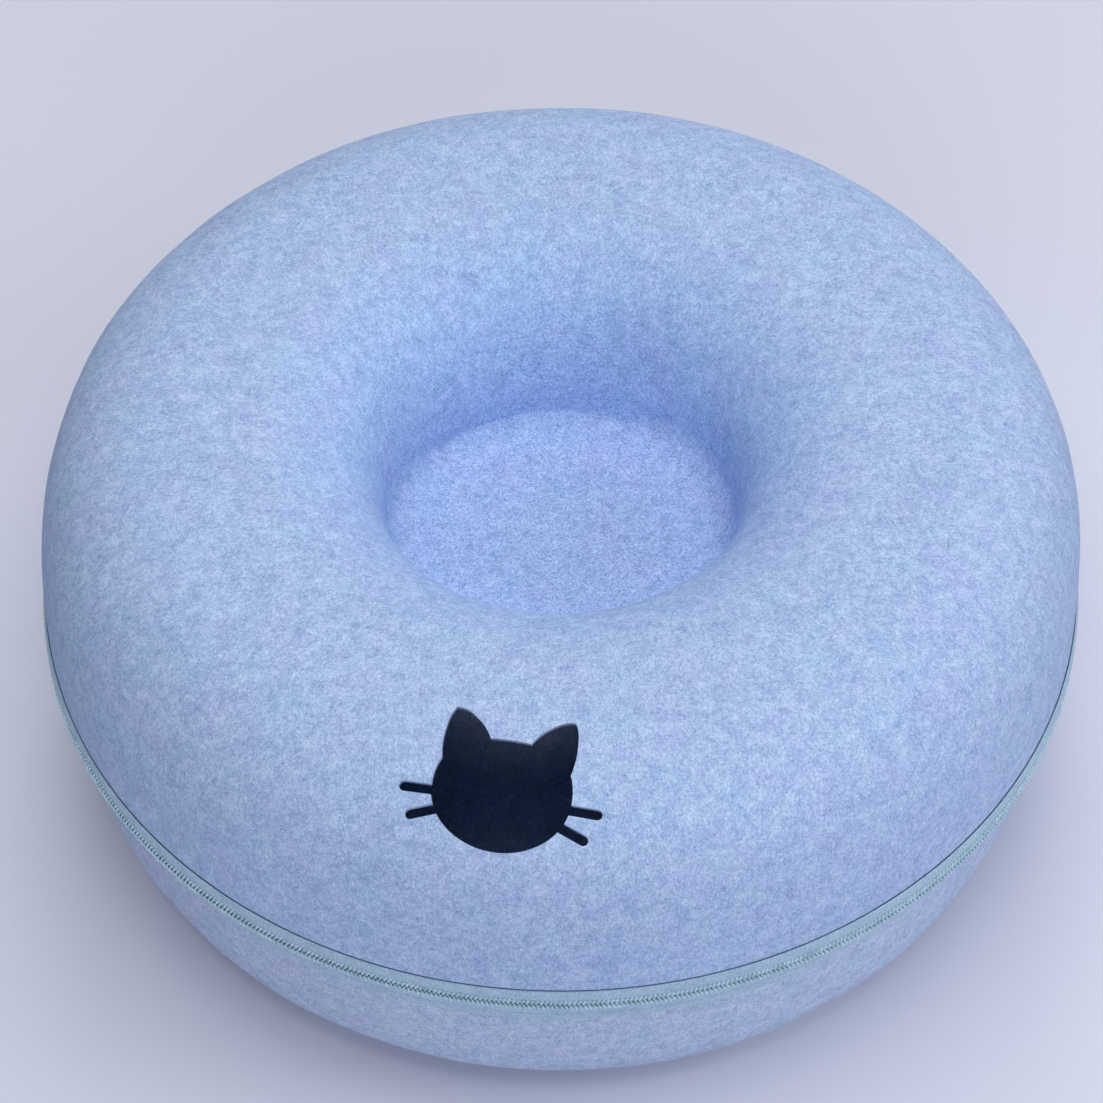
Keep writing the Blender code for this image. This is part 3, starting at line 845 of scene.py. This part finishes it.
def upperTapeSection(shape):
    outer = [(r * mm, z * mm) for r, z in tapes["upper"][shape]]
    hidden = zipLine["tapeOuter"] - zipLine["tapeThick"]
    pushed = tapes["pushed"][shape] * mm
    back = []
    for r, z in outer[::-1]:
        back.append((hidden + pushed * min(max((tapes["pushFrom"] - z) / tapes["pushOver"], 0.0), 1.0), z))
    return outer + back


def lowerTapeSection(shape):
    outer = [(r * mm, z * mm) for r, z in tapes["lower"][shape]]
    inner = [(r - zipLine["tapeThick"], z) for r, z in outer]
    for z, proud in zip(tapes["lap"][shape], tapes["proud"]):
        onFelt = feltOutside(lowerShell, z * mm)
        outer.append((onFelt + proud * mm, z * mm))
        inner.append((onFelt - tapes["bite"], z * mm))
    return outer + inner[::-1]


def makeTape(name, section):
    sections = {shape: section(shape) for shape in tapes["pushed"]}
    swept = sections["front"]
    obj = sweepRound(name, swept, zipLine["tapeEndArc"], tapes["steps"])
    for vert in obj.data.vertices:
        x, y, z = vert.co
        radius = math.hypot(x, y)
        index = min(range(len(swept)), key=lambda i: abs(swept[i][0] - radius) + abs(swept[i][1] - z))
        share = shares(x, y)
        newRadius = sum(share[shape] * sections[shape][index][0] for shape in share)
        newZ = sum(share[shape] * sections[shape][index][1] for shape in share)
        vert.co = (x / radius * newRadius, y / radius * newRadius, newZ)
    smooth(obj, degrees=50)
    return obj


finishPiece(makeTape("upperZipTape", upperTapeSection), "upper_half", "zip_tape", zipTape, "upper_zip_tape")
finishPiece(makeTape("lowerZipTape", lowerTapeSection), "lower_half", "zip_tape", zipTape, "lower_zip_tape")
print("tapes swept")

coil = {
    "pitch": 2.1 * mm,
    "wire": 0.56 * mm,        # radius of the filament
    "core": 0.62 * mm,        # radius of the filler cord that the turns are wound on
    "inner": 246.0 * mm,
    "outer": 248.4 * mm,
    "near": 0.12 * mm,        # heads, from the zip's middle
    "far": 3.6 * mm,
    "coreShift": 0.35 * mm,   # the cord lies this much further from the zip's middle
    "points": 12,             # to a turn
    "push": {"flat": 0.0, "front": 1.9 * mm, "side": 3.7 * mm},      # how far the closed zip stands out
}


def onZip(radius, angle, level):
    share = shares(math.cos(angle), math.sin(angle))
    reach = radius + sum(share[shape] * coil["push"][shape] for shape in share)
    return (reach * math.cos(angle), reach * math.sin(angle), level)


def coilPoints(side):
    c = coil
    middle = (c["inner"] + c["outer"]) / 2
    turn = endTurn(zipLine["coilEndArc"], middle)
    sweep = 2 * (math.pi - turn)
    count = int(sweep * middle / c["pitch"])
    deep = (c["outer"] - c["inner"]) / 2 - c["wire"]
    half = (c["far"] - c["near"]) / 2 - c["wire"]
    level = zipLine["middle"] + side * (c["near"] + c["far"]) / 2
    wound, core = [], []
    for i in range(count * c["points"] + 1):
        phase = 2 * math.pi * i / c["points"] + (math.pi if side < 0 else 0.0)
        angle = math.pi / 2 + turn + sweep * i / (count * c["points"])
        wound.append(onZip(middle + deep * math.sin(phase), angle, level - side * half * math.cos(phase)))
        if i % c["points"] == 0:
            core.append(onZip(middle, angle, level + side * c["coreShift"]))
    return wound, core


for half, side in (("upper", 1), ("lower", -1)):
    windingPoints, corePoints = coilPoints(side)
    winding = tube(half + "ZipCoil", windingPoints, coil["wire"], 1)
    smooth(winding, degrees=80)
    finishPiece(winding, half + "_half", "zip_coil", coilNylon, half + "_zip_coil")
    core = tube(half + "ZipCoilCore", corePoints, coil["core"], 1)
    smooth(core, degrees=80)
    finishPiece(core, half + "_half", "zip_coil", threadSpun)
    print(winding.name, len(winding.data.polygons))

seam = {
    "pitch": 3.3 * mm,
    "stitch": 2.7 * mm,
    "thread": 0.30 * mm,      # radius
    "upper": 110.85 * mm,     # heights of the two rows
    "lower": 83.1 * mm,
    "proud": 0.7 * mm,
    # half stitches along, and how far the thread is out of the cloth there
    "profile": ((-1, -0.40 * mm), (-0.82, 0.02 * mm), (-0.4, 0.14 * mm),
                (0.4, 0.14 * mm), (0.82, 0.02 * mm), (1, -0.40 * mm)),
}


def stitchRow(name, level, inside):
    if inside:
        radius = zipLine["tapeOuter"] - zipLine["tapeThick"]
    else:
        radius = feltOutside(lowerShell, level) + seam["proud"]
    turn = endTurn(zipLine["tapeEndArc"], radius)
    sweep = 2 * (math.pi - turn)
    count = int(sweep * radius / seam["pitch"])
    half = seam["stitch"] / 2
    out = -1 if inside else 1
    # a stitch lies along +Y, dips into the cloth at both ends, and bulges along +X or, inside, -X
    points = [(radius + out * rise, along * half, level) for along, rise in seam["profile"]]
    stitch = tube(name + "One", points, seam["thread"])
    spots = [Matrix.Rotation(math.pi / 2 + turn + sweep * (i + 0.5) / count, 4, "Z") for i in range(count)]
    return repeated(name, stitch, spots)


for half, inside in (("upper", True), ("lower", False)):
    row = stitchRow(half + "SeamStitches", seam[half], inside)
    smooth(row, degrees=60)
    finishPiece(row, half + "_half", "seam_thread", threadSpun, half + "_seam_thread")
print("coils and seams made")


cast = {
    "flat": 2,                # degrees: faces that turn less than this become one
    "corner": 35,             # degrees: sharper edges are rounded, to these radii
    "stopEdge": 0.18 * mm,
    "sliderEdge": 0.16 * mm,
    "crownEdge": 0.22 * mm,
    "pullEdge": 0.24 * mm,
    "segments": 3,
}


# A cast piece keeps its solid from the frame, with the soft edges that casting and enamel leave
def roundedCopy(nodeName, name, width, body):
    obj = bpy.data.objects.new(name, nodes[nodeName].data.copy())
    bpy.context.scene.collection.objects.link(obj)
    edit(obj)
    bpy.ops.mesh.remove_doubles(threshold=zipLine["weld"])
    bpy.ops.mesh.dissolve_limited(angle_limit=math.radians(cast["flat"]))
    bpy.ops.mesh.normals_make_consistent(inside=False)
    endEdit()
    bevel = obj.modifiers.new("castEdges", "BEVEL")
    bevel.width = width
    bevel.segments = cast["segments"]
    bevel.limit_method = "ANGLE"
    bevel.angle_limit = math.radians(cast["corner"])
    applyAll(obj)
    smooth(obj, degrees=40)
    finishPiece(obj, body, "zip_metal", zipEnamel, nodeName)


for half in ("upper", "lower"):
    for end in ("left", "right"):
        roundedCopy(half + "_end_stop_" + end, half + "EndStop" + end.capitalize(), cast["stopEdge"],
                    half + "_half")
roundedCopy("slider_body", "sliderBody", cast["sliderEdge"], "slider")
roundedCopy("slider_crown", "sliderCrown", cast["crownEdge"], "slider")
roundedCopy("pull_tab", "pullTab", cast["pullEdge"], "pull")
print("slider and stops cast")

# Hook and loop patches: moulded hooks on the dimple's underside, brushed loops on the centre below
patch = {
    "radius": 30 * mm,
    "base": 1.0 * mm,
    "facets": 96,
    "cutEdge": 0.3 * mm,
    "cutSegments": 2,
    "hookLow": 120.2 * mm,    # undersides of the two bases
    "loopLow": 116.9 * mm,
    "hookSpacing": 1.7 * mm,
    "loopSpacing": 1.55 * mm,
    "rowShare": 0.87,         # of the spacing, from row to row
    "bare": 1.2 * mm,         # round the rim
    "stray": 0.15,            # mm to either side
    "hookTurn": 0.5,
    "hookWire": 0.14 * mm,
    "loopWire": 0.112 * mm,
    # one hook and one loop, in mm
    "hook": ((0, 0, -0.1), (0, 0, 0.45), (0.12, 0, 0.68), (0.32, 0, 0.72), (0.45, 0, 0.55)),
    "loop": ((-0.5, 0, -0.1), (-0.52, 0, 0.35), (-0.28, 0, 0.68), (0.1, 0.05, 0.74), (0.45, 0, 0.5),
             (0.5, 0, -0.1)),
}


def patchBase(name, low):
    bpy.ops.object.select_all(action="DESELECT")
    bpy.ops.mesh.primitive_cylinder_add(vertices=patch["facets"], radius=patch["radius"], depth=patch["base"],
                                        location=(0, 0, low + patch["base"] / 2))
    obj = bpy.context.object
    obj.name = name
    bpy.ops.object.transform_apply(location=True, rotation=True, scale=True)
    bevel = obj.modifiers.new("cutEdge", "BEVEL")
    bevel.width = patch["cutEdge"]
    bevel.segments = patch["cutSegments"]
    bevel.limit_method = "ANGLE"
    applyAll(obj)
    smooth(obj)
    return obj


def patchSpots(spacing, level, facing, seed):
    chance = random.Random(seed)
    flip = Matrix.Rotation(math.pi, 4, "X") if facing < 0 else Matrix()
    spots = []
    rows = int(patch["radius"] / spacing)
    for i in range(-rows, rows + 1):
        for j in range(-rows, rows + 1):
            # every other row is shifted by half a spacing
            x, y = (i + 0.5 * (j % 2)) * spacing, j * spacing * patch["rowShare"]
            if math.hypot(x, y) > patch["radius"] - patch["bare"]:
                continue
            if facing < 0:
                turn = chance.uniform(-patch["hookTurn"], patch["hookTurn"])
            else:
                turn = chance.uniform(0, math.pi)
            x += chance.uniform(-patch["stray"], patch["stray"]) * mm
            spots.append(Matrix.Translation((x, y, level)) @ Matrix.Rotation(turn, 4, "Z") @ flip)
    return spots


for kind, facing, seed, body, nylon in (("hook", -1, 3, "upper_half", hookMoulded),
                                        ("loop", 1, 5, "lower_half", loopBrushed)):
    low = patch[kind + "Low"]
    unit = tube(kind + "One", [tuple(c * mm for c in point) for point in patch[kind]], patch[kind + "Wire"])
    base = patchBase(kind + "PatchBase", low)
    spots = patchSpots(patch[kind + "Spacing"], low if facing < 0 else low + patch["base"], facing, seed)
    field = repeated(kind + "Field", unit, spots)
    smooth(field, degrees=70)
    finishPiece(base, body, kind + "_nylon", nylon, kind + "_patch")
    finishPiece(field, body, kind + "_nylon", nylon)
    print(kind, "patch made", len(field.data.polygons))


# Floor, lights and camera

# Matt studio paper. Past the softboxes' reach it glows faintly, so that it stays pale further off.
floor = {
    "size": 60.0,
    "below": 0.2 * mm,
    "paper": "d6d9ea",
    "glowFrom": 2.0,          # metres from the object
    "glowFull": 5.0,
    "glow": 0.55,
}


def paperFloor():
    bpy.ops.mesh.primitive_plane_add(size=floor["size"], location=(0, 0, -floor["below"]))
    plane = bpy.context.object
    plane.name = "studioFloor"
    material, shader, place = newMaterial("studioPaper")
    radius = addNode(material, "ShaderNodeVectorMath", operation="LENGTH", links={0: place}).outputs["Value"]
    link(material, ramp(material, radius, floor["glowFrom"], floor["glowFull"], 0.0, floor["glow"]),
         shader.inputs["Emission Strength"])
    paper = hexColour(floor["paper"])
    setShader(shader, Emission_Color=paper, Base_Color=paper, Roughness=0.9)
    plane.data.materials.append(material)


paperFloor()


def aim(obj, location, target):
    bpy.context.scene.collection.objects.link(obj)
    obj.location = location
    obj.rotation_euler = (Vector(target) - Vector(location)).to_track_quat("-Z", "Y").to_euler()


def softbox(name, location, target, size, watts):
    data = bpy.data.lights.new(name, "AREA")
    data.shape = "DISK"
    data.size = size
    data.energy = watts
    aim(bpy.data.objects.new(name, data), location, target)


lightTarget = (0, 0, 0.1)
airStrength = 0.035
studio = {                    # place, disk size in metres, watts
    "softboxOverhead": ((0, 0, 2.6), 2.6, 45.7),
    "softboxFront": ((0, -2.3, 1.3), 1.4, 23.2),
    "softboxRight": ((2.3, -0.2, 1.1), 1.4, 18.0),
    "softboxBack": ((0, 2.2, 1.4), 1.4, 15.5),
}
for lightName, (place, size, watts) in studio.items():
    softbox(lightName, place, lightTarget, size, watts)
world = bpy.data.worlds.new("studioAir")
bpy.context.scene.world = world
world.use_nodes = True
setShader(world.node_tree.nodes["Background"], Color=(1.0, 1.0, 1.0, 1.0), Strength=airStrength)


def photographCamera():
    p = photoCamera
    data = bpy.data.cameras.new("photoCamera")
    data.sensor_width = p["sensor"]
    data.lens = p["focalPixels"] * p["sensor"] / p["framePixels"]
    camera = bpy.data.objects.new("photoCamera", data)
    elevation = math.radians(p["elevation"])
    back = Vector((0, -math.cos(elevation), math.sin(elevation))) * p["distance"]
    aim(camera, Vector(p["target"]) + back, p["target"])
    bpy.context.scene.camera = camera


photographCamera()
bpy.context.scene.view_settings.view_transform = "Standard"
bpy.context.view_layer.update()
